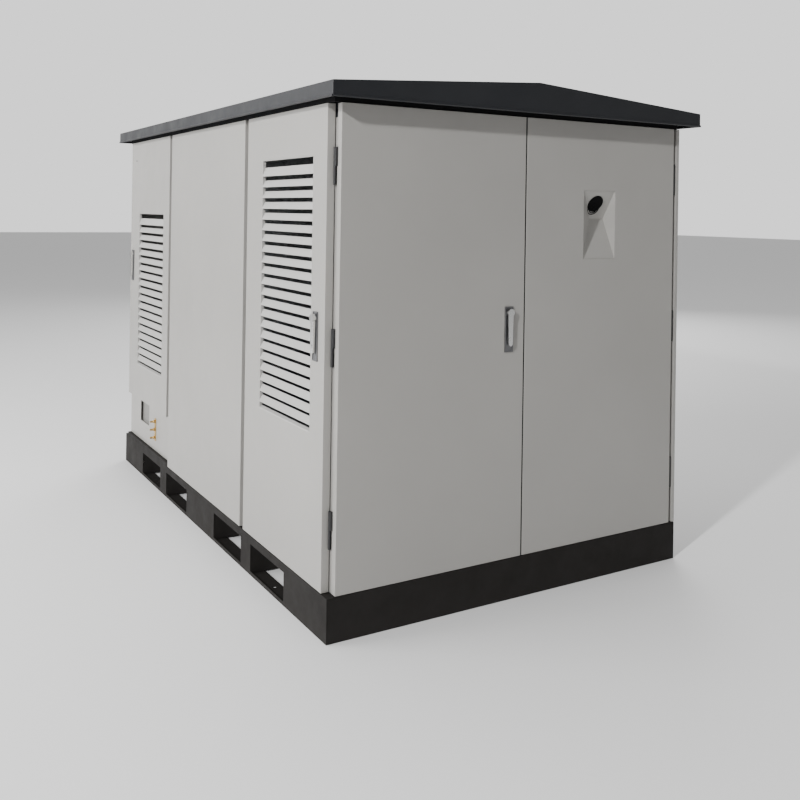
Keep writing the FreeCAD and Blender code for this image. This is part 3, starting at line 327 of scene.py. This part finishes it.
def laminations():
    """The core's edge: thin steel sheets stacked across its depth."""
    finish = Finish("stacked core steel")
    lines = finish.tree.nodes.new("ShaderNodeTexWave")
    lines.bands_direction = "Y"
    lines.inputs["Scale"].default_value = 90.0
    lines.inputs["Distortion"].default_value = 0.4
    finish.join(finish.place, lines.inputs["Vector"])
    finish.colour(finish.ramp(lines.outputs["Fac"], (0.3, (0.10, 0.10, 0.11)), (0.7, (0.30, 0.31, 0.33))))
    finish.set(Metallic=0.9, Roughness=0.45)
    finish.bump(lines.outputs["Fac"], 0.3, 0.0006)
    return finish.material


def wound_copper():
    """Layers of enamelled wire, one above another."""
    finish = Finish("enamelled windings")
    turns = finish.tree.nodes.new("ShaderNodeTexWave")
    turns.bands_direction = "Z"
    turns.inputs["Scale"].default_value = 50.0
    finish.join(finish.place, turns.inputs["Vector"])
    finish.colour(finish.ramp(turns.outputs["Fac"], (0.2, (0.22, 0.07, 0.03)), (0.8, (0.60, 0.26, 0.12))))
    finish.set(Metallic=0.8, Roughness=0.32)
    finish.bump(turns.outputs["Fac"], 0.5, 0.002)
    return finish.material


# A powder coat is given by its colour and roughness, then its orange peel where that is coarser; a plain
# surface by its colour, its roughness, and the scale and depth of its grain.
PAINT_LIGHT = powder_coat("warm grey powder coat", (0.32, 0.311, 0.294), 0.36)
# Painted highlight: the louvre blades take a lighter copy of the enclosure paint, standing for the light their
# tops catch.
LOUVRE_PAINTED_HIGHLIGHT = powder_coat("louvre grey coat with painted highlight", (0.40, 0.395, 0.38), 0.4)
HOPPER_PAINT = powder_coat("hopper grey powder coat", (0.34, 0.331, 0.313), 0.5)
SEAL_RUBBER = plain_surface("black seal rubber", (0.005, 0.005, 0.0055), 0.75, 600.0, 0.0003, gloss=0.12)
# Painted shade: a dark grey for the mullions, which are enclosure paint lying in the shade of the gaps beside the
# side doors.
MULLION_PAINTED_SHADE = plain_surface("grey painted mullion shade", (0.085, 0.084, 0.082), 0.7, 600.0, 0.0003, gloss=0.2)
# Painted shade: a darker copy of the enclosure paint, laid at the back of the low panel's notch.
RECESS_PAINTED_SHADE = powder_coat("painted recess shade", (0.20, 0.196, 0.186), 0.5)
HINGE_STEEL = plain_surface("black hinge steel", (0.012, 0.012, 0.013), 0.5, 300.0, 0.0003)
DISH_STEEL = plain_surface("satin handle dish", (0.16, 0.16, 0.165), 0.38, 500.0, 0.0002, metallic=0.9)
PAINT_TANK = powder_coat("tank green-grey enamel", (0.20, 0.25, 0.24), 0.32, 0.18)
DIAL_WHITE = plain_surface("dial white", (0.75, 0.75, 0.73), 0.3, 900.0, 0.0001, coat=0.5)
MATERIALS = {
    "enclosure_paint": PAINT_LIGHT,
    "roof_paint": roof_paint(),
    "base_paint": skid_paint(),
    "galvanised": zinc(),
    "hinge_steel": HINGE_STEEL,
    "handle_chrome": bright_nickel(),
    "port_rubber": plain_surface("port rubber", (0.003, 0.003, 0.0033), 0.8, 700.0, 0.0003, gloss=0.1),
    "tank_paint": PAINT_TANK,
    "core_steel": laminations(),
    "copper": plain_surface("bare copper bar", (0.72, 0.33, 0.17), 0.3, 350.0, 0.0002, metallic=1.0),
    "porcelain": plain_surface("glazed porcelain", (0.16, 0.055, 0.028), 0.12, 60.0, 0.0002, coat=0.6),
    "switch_plastic": plain_surface("dark switch plastic", (0.05, 0.052, 0.056), 0.42, 900.0, 0.0002),
    "switch_red": plain_surface("red lever plastic", (0.48, 0.02, 0.012), 0.3, 800.0, 0.0002, coat=0.2),
    "cable_rubber": plain_surface("cable jacket", (0.018, 0.018, 0.02), 0.48, 500.0, 0.0003),
    "brass": plain_surface("earth brass", (0.62, 0.42, 0.16), 0.28, 400.0, 0.0002, metallic=1.0),
}
SLOT_OF = {part["node"]: part["material_slot"] for part in frame["record"]["subparts"]}


# ------------------------------------------------------------------ finishing the CAD nodes

def face_reach(mesh, axis, spot):
    """For each face: the greatest distance of its corners from a line, and its length along that line."""
    points = np.empty(3 * len(mesh.vertices))
    mesh.vertices.foreach_get("co", points)
    corners = np.empty(len(mesh.loops), int)
    mesh.loops.foreach_get("vertex_index", corners)
    starts = np.empty(len(mesh.polygons), int)
    mesh.polygons.foreach_get("loop_start", starts)
    offset = points.reshape(-1, 3)[corners] - np.array(spot)
    along = offset @ np.array(axis, float)
    away = np.linalg.norm(offset - along[:, None] * np.array(axis, float), axis=1)
    length = np.maximum.reduceat(along, starts) - np.minimum.reduceat(along, starts)
    return np.maximum.reduceat(away, starts), length


def repaint(piece, material, chosen):
    """Gives the chosen faces of a piece a second material."""
    piece.data.materials.append(material)
    mark = np.zeros(len(piece.data.polygons), np.int32)
    mark[chosen] = len(piece.data.materials) - 1
    piece.data.polygons.foreach_set("material_index", mark)


# Corners nearer than this, in metres, are one. The bends are those of one flat face, a curved wall, a fold
# worth rounding and an edge that is shaded sharp.
DOUBLES = 2e-5
FLAT_BEND, CURVE_BEND, FOLD_BEND, SHARP_BEND = (math.radians(angle) for angle in (0.5, 32, 40, 35))


def refined(node, width, material=None):
    """A merged copy of a CAD node, which stands for the node. The edges between its broad faces are rounded.
    A face is shaded smooth where it meets a neighbour at a small angle, as on a rod or a rolled rim."""
    mesh = frame["nodes"][node].data.copy()
    form = bmesh.new()
    form.from_mesh(mesh)
    bmesh.ops.remove_doubles(form, verts=form.verts, dist=DOUBLES)
    bmesh.ops.dissolve_limit(form, angle_limit=FLAT_BEND, verts=form.verts, edges=form.edges)
    bends = {edge: edge.calc_face_angle(0) for edge in form.edges}
    for edge, bend in bends.items():
        edge.smooth = bend < CURVE_BEND
    for face in form.faces:
        face.smooth = any(FLAT_BEND < bends[edge] < CURVE_BEND for edge in face.edges)
    broad = {face for face in form.faces if not face.smooth and face.calc_area() > (5 * width) ** 2}
    folds = [edge for edge, bend in bends.items()
             if bend > FOLD_BEND and edge.calc_length() > 4 * width and broad.issuperset(edge.link_faces)]
    if width:
        bmesh.ops.bevel(form, geom=folds, offset=width, segments=2, profile=0.5, affect="EDGES")
    form.to_mesh(mesh)
    form.free()
    mesh.materials.clear()
    mesh.materials.append(material or MATERIALS[SLOT_OF[node]])
    piece = bpy.data.objects.new(node + "_finished", mesh)
    bpy.context.collection.objects.link(piece)
    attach(piece, BODY_OF[node])
    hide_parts(node)
    return piece


# How far an edge is rounded, in millimetres: folded sheet, small parts, and the nodes that differ.
SHEET_EDGE = 1.1
SMALL_EDGE = 0.6
EDGE = {
    "roof": 2.2, "skid_rail_left": 2.0, "skid_rail_right": 2.0, "skid_end_front": 2.0, "skid_end_rear": 2.0,
    "hopper": 0.8, "vent_hood_front": 1.1, "vent_hood_rear": 1.1, "transformer_tank": 1.8,
    "transformer_cover": 2.0, "ring_main_unit": 1.2, "board": 1.0, "fuse_strips": 4.0,
    "louvre_left_front": 0, "louvre_left_rear": 0, "bulkhead_front": 0, "bulkhead_rear": 0,
    "transformer_core": 2.0,
}
OWN_PAINT = {
    "cross_member_front": MATERIALS["base_paint"], "cross_member_middle": MATERIALS["base_paint"],
    "cross_member_rear": MATERIALS["base_paint"],
    "louvre_left_front": LOUVRE_PAINTED_HIGHLIGHT, "louvre_left_rear": LOUVRE_PAINTED_HIGHLIGHT, "hopper": HOPPER_PAINT,
    "handle_plate_front": DISH_STEEL, "handle_plate_rear": DISH_STEEL,
    "handle_plate_left_front": DISH_STEEL, "handle_plate_left_rear": DISH_STEEL,
}
# In metres: a door's knuckles are its faces this near its axis and this short, and a lever's key lies this
# far below the lever's axis and is this wide.
KNUCKLE_REACH = 0.022
KNUCKLE_LENGTH = 0.16
KEY_DROP = 0.117
KEY_REACH = 0.008


def dress_nodes():
    """Every CAD node gets its material; folded and machined ones get rounded edges as well.
    Knuckles near a door's axis are black, and so is the key in each lever."""
    pieces = {}
    for node, source in frame["nodes"].items():
        source.data.materials.clear()
        source.data.materials.append(MATERIALS[SLOT_OF[node]])
        default = SHEET_EDGE if node.startswith(("door", "panel", "post", "top_rail")) else SMALL_EDGE
        pieces[node] = refined(node, EDGE.get(node, default) * MM, OWN_PAINT.get(node))
    for joint in frame["joints"]:
        for node, piece in pieces.items():
            if BODY_OF[node] != joint["child"]:
                continue
            if node.startswith("door"):
                reach, length = face_reach(piece.data, (0, 0, 1), joint["pos_m"])
                repaint(piece, HINGE_STEEL, (reach < KNUCKLE_REACH) & (length < KNUCKLE_LENGTH))
            if node.startswith("handle_lever"):
                spot = np.array(joint["pos_m"]) - (0, 0, KEY_DROP)
                reach, _ = face_reach(piece.data, np.abs(joint["axis"]), spot)
                repaint(piece, SEAL_RUBBER, reach < KEY_REACH)


# ------------------------------------------------------------------ shapes worked out as arrays

def skin(name, grids, body, material, closed=False):
    """One piece from grids of points. Columns run round each shape and its last column joins its first.
    The end rows are filled, or joined to each other when the shape is closed along its rows too."""
    points, faces, start = [], [], 0
    for grid in grids:
        rows, columns = grid.shape[:2]
        index = start + np.arange(rows * columns).reshape(rows, columns)
        if closed:
            index = np.vstack([index, index[:1]])
        beside = np.roll(index, -1, axis=1)
        faces += np.stack([index[:-1], beside[:-1], beside[1:], index[1:]], -1).reshape(-1, 4).tolist()
        if not closed:
            faces += [index[0][::-1].tolist(), index[-1].tolist()]
        points.append(grid.reshape(-1, 3))
        start += rows * columns
    mesh = bpy.data.meshes.new(name)
    mesh.from_pydata(np.concatenate(points).tolist(), [], faces)
    form = bmesh.new()
    form.from_mesh(mesh)
    bmesh.ops.recalc_face_normals(form, faces=form.faces)
    form.to_mesh(mesh)
    form.free()
    mesh.polygons.foreach_set("use_smooth", np.ones(len(mesh.polygons), bool))
    mesh.set_sharp_from_angle(angle=SHARP_BEND)
    mesh.materials.append(material)
    piece = bpy.data.objects.new(name, mesh)
    bpy.context.collection.objects.link(piece)
    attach(piece, body)
    return piece


def turned(profile, place, axis, steps=40):
    """Point = place + height * axis + radius * (cos(angle) * side + sin(angle) * across), for each
    (radius, height) of the profile in millimetres and each angle of a full turn."""
    axis = Vector(axis).normalized()
    side = axis.orthogonal().normalized()
    angle = np.linspace(0, 2 * np.pi, steps, endpoint=False)[None, :, None]
    radius, height = (np.array(profile, float) * MM).T[:, :, None, None]
    return (np.array(place) + height * np.array(axis)
            + radius * (np.cos(angle) * np.array(side) + np.sin(angle) * np.array(axis.cross(side))))


def pressed(width, height, layers, place, out, squareness=7.0, steps=64):
    """A rounded plate: Point = place + x * side + z * up + depth * out, where x and z follow the curve
    |x / half width| ** n + |z / half height| ** n = 1 drawn in by each layer's inset, in millimetres."""
    out = np.array(out, float)
    up = np.array((0.0, 0.0, 1.0))
    side = np.cross(out, up)
    angle = np.linspace(0, 2 * np.pi, steps, endpoint=False)[None, :, None]
    inset, depth = (np.array(layers, float) * MM).T[:, :, None, None]
    across = np.sign(np.cos(angle)) * np.abs(np.cos(angle)) ** (2 / squareness)
    along = np.sign(np.sin(angle)) * np.abs(np.sin(angle)) ** (2 / squareness)
    return (np.array(place) + (width * MM / 2 - inset) * across * side
            + (height * MM / 2 - inset) * along * up + depth * out)


def strip(start, end, outline, across, out):
    """A straight run of an outline: Point = start or end + u * across + v * out, in millimetres."""
    u, v = (np.array(outline, float) * MM).T[:, None, :, None]
    ends = np.array([start, end], float)[:, None, :]
    return ends + u * np.array(across, float) + v * np.array(out, float)


def plan_ring(half_width, half_length, outline):
    """A section carried round a rectangle seen from above, mitred at its four corners:
    Point = corner + u * (sign of x, sign of y) + v * up, with the corner in metres, u and v in millimetres."""
    signs = np.array([(1, 1), (-1, 1), (-1, -1), (1, -1)], float)
    u, v = (np.array(outline, float) * MM).T[:, None, :]
    corner = signs * (half_width, half_length)
    plan = corner[:, None, :] + signs[:, None, :] * u[..., None]
    return np.concatenate([plan, np.broadcast_to(v[..., None], (*plan.shape[:2], 1))], axis=2)


# The section of the rubber between two leaves, from the left leaf's edge outwards, in millimetres.
BULB = [(-1.0, -5.0), (3.4, -4.6), (5.6, -3.0), (6.6, 0.0), (5.6, 3.0), (3.4, 4.6), (-1.0, 5.0)]


def add_seals():
    """Black rubber: a bulb down the edge of each right leaf; and a black band under the eaves, above the doors,
    which is painted shadow for the gap there.
    """
    seam, short, gap_above = 1.5525, 0.002, 0.0235
    half_width, half_length = 0.966, 1.546
    for end, label in ((-1, "front"), (1, "rear")):
        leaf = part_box("door_%s_right" % label)
        edge = leaf[0].x
        depth = end * seam
        run = strip((edge, depth, leaf[0].z + short), (edge, depth, leaf[1].z - short), BULB,
                    (-1, 0, 0), (0, -end, 0))
        skin("leaf_seal_" + label, [run], "%s_right_door" % label, SEAL_RUBBER)
    # Painted shadow: a black band fills the gap between the doors' top and the soffit, where the eaves cast shade.
    door_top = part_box("door_front_left")[1].z
    soffit = door_top + gap_above
    top, lip = 1000 * soffit, 1000 * door_top
    outline = [(-9, top), (-9, lip + 3), (-6, lip + 1), (4, lip + 1), (7, lip + 3), (7, top)]
    band = plan_ring(half_width, half_length, outline)
    skin("eaves_painted_shadow", [band], "enclosure", SEAL_RUBBER, closed=True)


def port_face():
    """The middle and the outward direction of the hopper port's flat front. It leans as the hopper's
    upper face does, which goes in by its depth over its height."""
    face_depth, face_height, flatness = 0.0785, 0.131, 2e-4
    lean = math.atan2(face_depth, face_height)
    out = np.array((0.0, -math.cos(lean), -math.sin(lean)))
    mesh = frame["nodes"]["hopper_port"].data
    spots = np.empty(3 * len(mesh.vertices))
    mesh.vertices.foreach_get("co", spots)
    spots = spots.reshape(-1, 3)
    reach = spots @ out
    front = spots[reach > reach.max() - flatness]
    return (front.min(0) + front.max(0)) / 2, out


def add_port_rings():
    """Three low rings and a middle boss moulded on the port's face."""
    middle, out = port_face()
    radii, sunk = (33, 24, 15), 0.4 * MM
    rings = [turned([(r - 2, -0.6), (r - 1.2, 1.0), (r, 1.4), (r + 1.2, 1.0), (r + 2, -0.6)], middle, out)
             for r in radii]
    rings = [np.concatenate([ring, ring[:1] - sunk * out]) for ring in rings]
    boss = turned([(7, -0.6), (7, 1.6), (5.8, 2.2), (1.0, 2.4)], middle, out)
    skin("port_rings", rings, "front_right_door", MATERIALS["port_rubber"], closed=True)
    skin("port_boss", [boss], "front_right_door", MATERIALS["port_rubber"])


def add_earth_nuts():
    """A washer and a chamfered hexagon nut on each earth stud."""
    low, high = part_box("earth_terminal")
    stud_length, stud_pitch = 0.030, 0.050
    face = low.x + stud_length
    middle = (low.z + high.z) / 2
    washer = [(6.2, 0), (12, 0), (12, 2), (6.2, 2)]
    nut = [(6.2, 2), (9.2, 2), (10.4, 3), (10.4, 11), (9.2, 12), (6.2, 12)]
    nuts, washers = [], []
    for step in (-1, 0, 1):
        spot = (face, (low.y + high.y) / 2, middle + stud_pitch * step)
        washers.append(turned(washer, spot, (-1, 0, 0)))
        nuts.append(turned(nut, spot, (-1, 0, 0), 6))
    skin("earth_nuts", nuts, "enclosure", MATERIALS["brass"])
    skin("earth_washers", washers, "enclosure", MATERIALS["brass"])


def add_board_details():
    """Three fuse covers with grips on every strip of the low-voltage board, and three dial meters above."""
    low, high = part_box("fuse_strips")
    count, width = 8, 90.0
    spots = np.linspace(low.x + width * MM / 2, high.x - width * MM / 2, count)
    levels = low.z + (high.z - low.z) * np.array([0.2, 0.5, 0.8])
    cover = [(0, 0), (0, 8), (2, 11), (5, 12)]
    grip = [(0, 11), (0, 24), (2, 27), (5, 28)]
    covers, grips = [], []
    for x in spots:
        for z in levels:
            covers.append(pressed(82, 176, cover, (x, low.y, z), (0, -1, 0), 9.0))
            grips.append(pressed(54, 26, grip, (x, low.y, z), (0, -1, 0), 5.0, 32))
    skin("fuse_covers", covers, "enclosure", MATERIALS["switch_plastic"])
    skin("fuse_grips", grips, "enclosure", MATERIALS["switch_red"])
    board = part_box("board")
    first_meter, meter_pitch, meter_drop = -0.42, 0.13, 0.12
    cases, dials, needles = [], [], []
    for step in range(3):
        spot = (first_meter + meter_pitch * step, board[0].y, board[1].z - meter_drop)
        cases.append(pressed(96, 96, [(0, -1), (0, 9), (2, 12), (8, 12), (9, 8)], spot, (0, -1, 0), 9.0))
        dials.append(pressed(78, 78, [(0, 7), (0, 9), (1, 9.5)], spot, (0, -1, 0), 9.0))
        needles.append(pressed(2.2, 50, [(0, 9), (0, 10.4), (0.4, 10.6)], spot, (0, -1, 0), 3.0, 16))
    skin("meter_cases", cases, "enclosure", MATERIALS["switch_plastic"])
    skin("meter_dials", dials, "enclosure", DIAL_WHITE)
    skin("meter_needles", needles, "enclosure", SEAL_RUBBER)


def add_ring_main_details():
    """Cable covers with their screws, a pressure gauge and two operating sockets on the ring-main unit."""
    low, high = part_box("ring_main_unit")
    face = high.y
    cover_pitch, cover_rise = 0.315, 0.38
    screw_across, screw_along = 125, 235
    gauge_x, gauge_z, socket_x, socket_z = 0.33, 1.27, 0.30, 1.08
    covers, screws = [], []
    for step in (-1, 0, 1):
        spot = Vector((cover_pitch * step, face, low.z + cover_rise))
        covers.append(pressed(290, 520, [(0, -1), (0, 5), (1.5, 7), (12, 7.6)], spot, (0, 1, 0), 16.0, 96))
        for across in (-screw_across, screw_across):
            for along in (-screw_along, screw_along):
                screws.append(turned([(6, 6), (6, 9), (4.6, 11), (1, 11.4)],
                                     spot + Vector((across, 0, along)) * MM, (0, 1, 0), 24))
    skin("cable_covers", covers, "enclosure", PAINT_LIGHT)
    skin("cable_cover_screws", screws, "enclosure", MATERIALS["galvanised"])
    gauge_place = (gauge_x, face, gauge_z)
    case = [(38, -1), (40, 4), (40, 18), (36, 22), (33, 20), (33, 16), (1, 16)]
    gauge = turned(case, gauge_place, (0, 1, 0))
    skin("gauge_case", [gauge], "enclosure", MATERIALS["switch_plastic"])
    dial = turned([(32.5, 15), (32.5, 17), (1, 17.4)], gauge_place, (0, 1, 0))
    skin("gauge_dial", [dial], "enclosure", DIAL_WHITE)
    socket = [(24, -1), (26, 3), (24, 8), (15, 9), (13, 7), (13, 2), (1, 2)]
    sockets = [turned(socket, (x, face, socket_z), (0, 1, 0)) for x in (-socket_x, socket_x)]
    skin("operating_sockets", sockets, "enclosure", MATERIALS["galvanised"])


def add_fork_tunnels():
    """A dark folded channel, open below, between the fork pockets of the two rails."""
    reach, inner, outer = 0.973, 0.423, 0.938
    side, top, foot, sheet = 199, 150, 8, 4
    profile = [(-side, foot), (-side, top), (side, top), (side, foot), (side - sheet, foot),
               (side - sheet, top - sheet), (sheet - side, top - sheet), (sheet - side, foot)]
    runs = [strip((-reach, middle, 0), (reach, middle, 0), profile, (0, 1, 0), (0, 0, 1))
            for middle in (-outer, -inner, inner, outer)]
    skin("fork_tunnels", runs, "enclosure", MATERIALS["base_paint"])


def add_mullion_painted_shade():
    """A dark grey strip on each mullion, seen between the middle panel and the side doors: painted shade that
    darkens the mullion as the shade in the gap does.
    """
    low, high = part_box("door_left_front")
    face, middle, short = -0.940, 0.611, 0.002
    profile = [(-13, 0), (-13, 2.2), (-11, 3), (11, 3), (13, 2.2), (13, 0)]
    runs = [strip((face, y, low.z + short), (face, y, high.z - short), profile, (0, 1, 0), (-1, 0, 0))
            for y in (-middle, middle)]
    skin("mullion_painted_shade", runs, "enclosure", MULLION_PAINTED_SHADE)


def add_notch_painted_shade():
    """A darker plate at the back of the low panel's notch: painted shade for the recess, whose back is the panel's
    own paint.
    """
    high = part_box("panel_low_left")[1]
    plate_back, notch_middle, half_height = 0.0015, 1.170, 0.0705
    place = (high.x - plate_back, notch_middle, high.z - half_height)
    width, height, thickness = 193, 138, 1.4
    layers = [(0, 0), (0, 1.0), (0.4, thickness)]
    shade_plate = pressed(width, height, layers, place, (-1, 0, 0), 40.0, 96)
    skin("notch_painted_shade", [shade_plate], "enclosure", RECESS_PAINTED_SHADE)


def add_door_plug():
    """A rubber plug pressed in a spare hole of the far side door."""
    hole = (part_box("door_left_rear")[0].x, 1.385, 2.052)
    plug = turned([(4.5, -1), (4.5, 1.0), (3.4, 2.0), (0.6, 2.3)], hole, (-1, 0, 0), 24)
    skin("door_plug", [plug], "side_rear_door", SEAL_RUBBER)


set_camera()
set_stage()
dress_nodes()
add_seals()
add_port_rings()
add_earth_nuts()
add_door_plug()
add_fork_tunnels()
add_mullion_painted_shade()
add_notch_painted_shade()
add_board_details()
add_ring_main_details()
